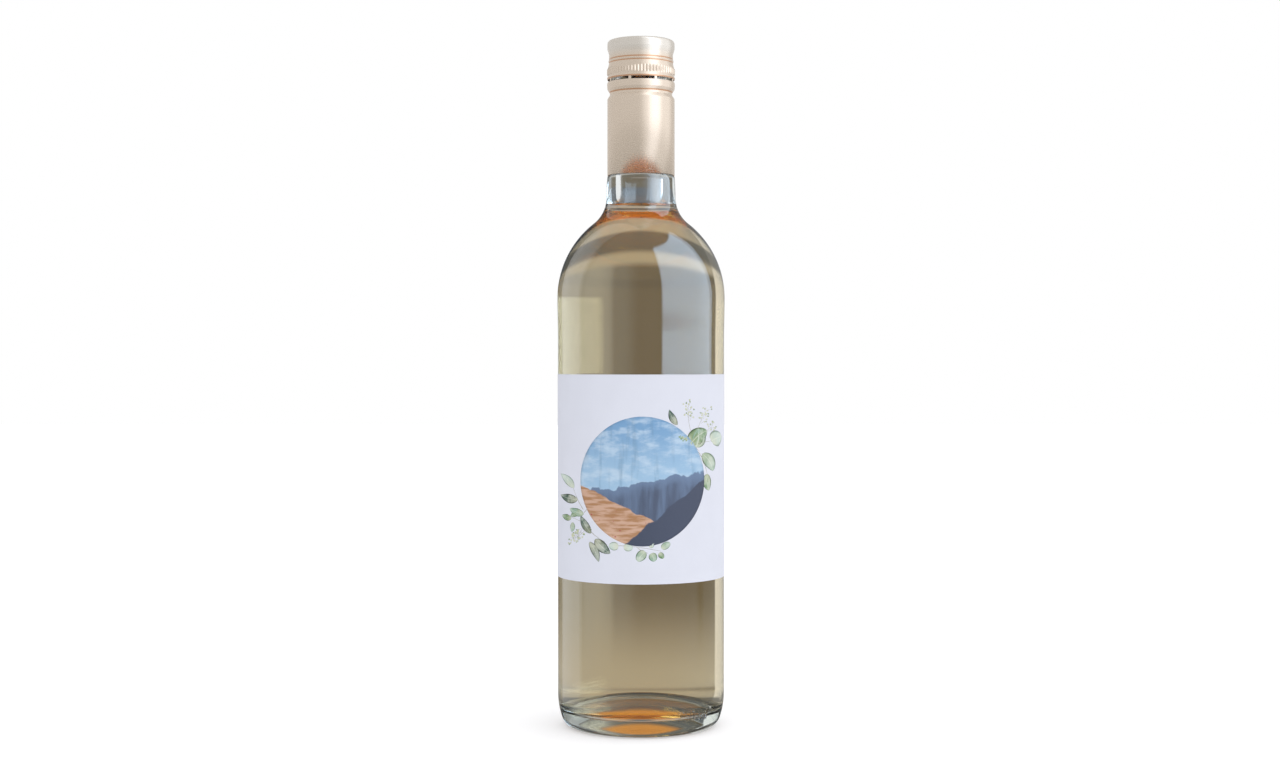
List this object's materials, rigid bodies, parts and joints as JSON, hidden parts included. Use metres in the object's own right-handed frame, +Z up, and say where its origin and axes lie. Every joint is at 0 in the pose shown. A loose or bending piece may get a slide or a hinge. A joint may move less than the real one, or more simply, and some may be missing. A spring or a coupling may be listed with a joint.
{
  "type": "wine bottle",
  "caption": "Clear glass bottle of pale white wine with round shoulders, a long-skirt screw closure and a wrapped paper label, standing upright.",
  "frame": {"origin": "on the bottle's axis, in the plane that its base stands on", "axes": "+Z up along the bottle's axis, -Y out through the middle of the label, +X to the right of someone who faces the label"},
  "size_m": [0.0742, 0.0742, 0.304],
  "materials": {
    "glass": "clear, smooth, with a faint grey-green tint in its thick parts",
    "wine": "clear pale straw-yellow liquid",
    "closure": "satin champagne lacquer, with brighter rolled edges",
    "label": "uncoated pale lavender paper with matt print"
  },
  "bodies": {
    "root": {"glass": "glass", "wine": "wine", "closure": "closure", "label": "label"}
  },
  "joints": []
}
